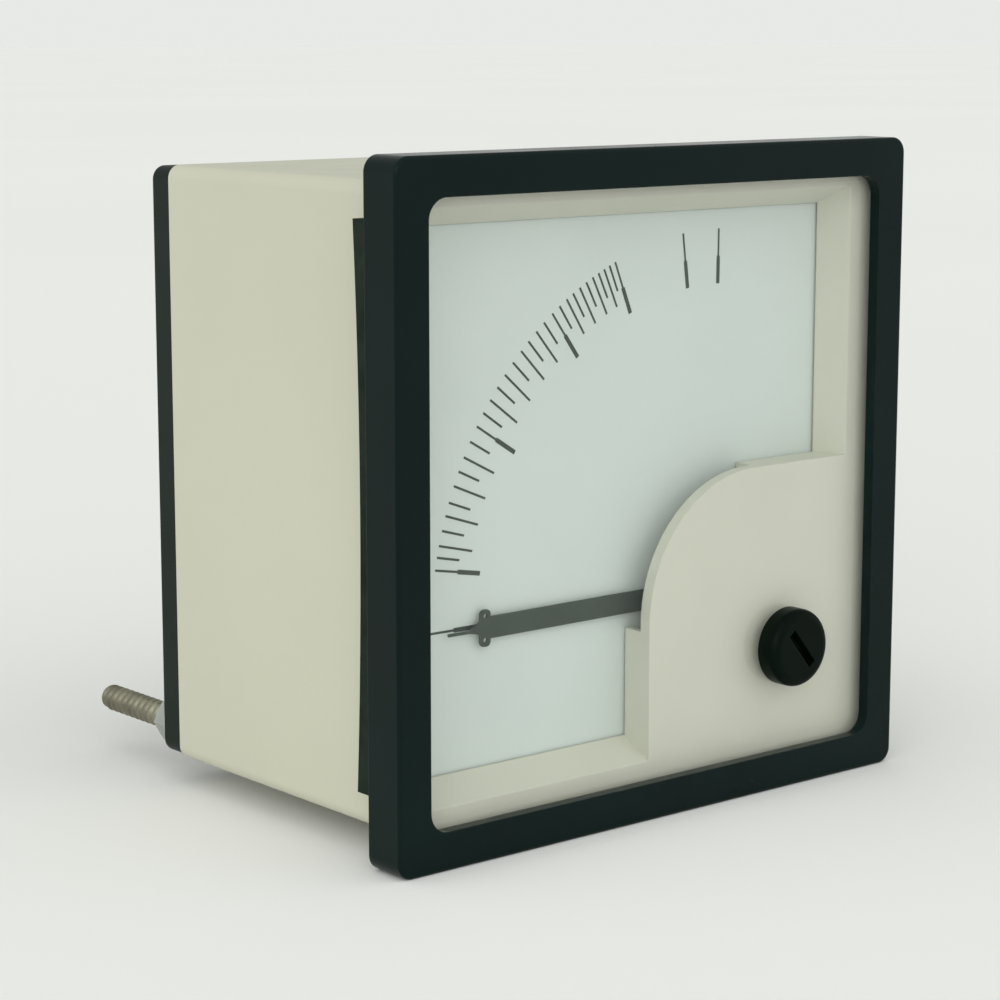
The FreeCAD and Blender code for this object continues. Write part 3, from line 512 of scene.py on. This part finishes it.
def make_floor():
    """Plain pale floor under the lowest point of the object."""
    z = cad_box[0][2]
    mesh = bpy.data.meshes.new("studio_floor")
    signs = ((-1, -1), (1, -1), (1, 1), (-1, 1))
    corners = [(a * FLOOR_HALF, b * FLOOR_HALF, z) for a, b in signs]
    mesh.from_pydata(corners, [], [(0, 1, 2, 3)])
    mesh.materials.append(floor_material())
    floor = bpy.data.objects.new("studio_floor", mesh)
    bpy.context.scene.collection.objects.link(floor)


def sun_light(name, towards, power, spread):
    """Soft directional light that shines from the given direction."""
    data = bpy.data.lights.new(name, "SUN")
    data.energy = power
    data.angle = math.radians(spread)
    lamp = bpy.data.objects.new(name, data)
    lamp.rotation_euler = Vector(towards).to_track_quat("Z", "Y").to_euler()
    bpy.context.scene.collection.objects.link(lamp)


def ramp(tree, source, start, end, low, high):
    """Smooth change from low to high while the source goes from start to end."""
    node = tree.nodes.new("ShaderNodeMapRange")
    node.interpolation_type = "SMOOTHSTEP"
    for name, value in (("From Min", start), ("From Max", end), ("To Min", low), ("To Max", high)):
        socket = node.inputs[name]
        if isinstance(value, float):
            socket.default_value = value
        else:
            tree.links.new(value, socket)
    tree.links.new(source, node.inputs["Value"])
    return node.outputs["Result"]


def make_world():
    """Soft room light: bright on the camera's side, darker behind the object."""
    world = bpy.data.worlds.new("studio")
    world.use_nodes = True
    tree = world.node_tree
    background = tree.nodes["Background"]
    coords = tree.nodes.new("ShaderNodeTexCoord").outputs["Generated"]

    away = tree.nodes.new("ShaderNodeVectorMath")
    away.operation = "DOT_PRODUCT"
    away.inputs[1].default_value = AWAY
    tree.links.new(coords, away.inputs[0])
    split = tree.nodes.new("ShaderNodeSeparateXYZ")
    tree.links.new(coords, split.inputs["Vector"])
    sky = ramp(tree, away.outputs["Value"], -0.3, 0.6, WORLD_BRIGHT, WORLD_DARK)
    strength = ramp(tree, split.outputs["Z"], 0.02, 0.09, WORLD_HORIZON, sky)
    tree.links.new(strength, background.inputs["Strength"])
    background.inputs["Color"].default_value = (*WORLD_COLOUR, 1.0)
    bpy.context.scene.world = world
    bpy.context.scene.view_settings.view_transform = "Standard"


def make_camera():
    data = bpy.data.cameras.new("camera")
    data.sensor_width = CAMERA_SENSOR
    data.lens = CAMERA_LENS
    data.clip_start = 0.01
    camera = bpy.data.objects.new("camera", data)
    back = Vector((
        math.sin(CAMERA_AZIMUTH) * math.cos(CAMERA_ELEVATION),
        -math.cos(CAMERA_AZIMUTH) * math.cos(CAMERA_ELEVATION),
        math.sin(CAMERA_ELEVATION),
    ))
    right = Vector((math.cos(CAMERA_AZIMUTH), math.sin(CAMERA_AZIMUTH), 0.0))
    up = back.cross(right)
    turn = Matrix((right, up, back)).transposed().to_4x4()
    camera.matrix_world = Matrix.Translation(CAMERA_PLACE) @ turn
    bpy.context.scene.collection.objects.link(camera)
    bpy.context.scene.camera = camera


make_floor()
make_world()
sun_light("key", KEY_TOWARDS, KEY_POWER, KEY_SPREAD)
make_camera()
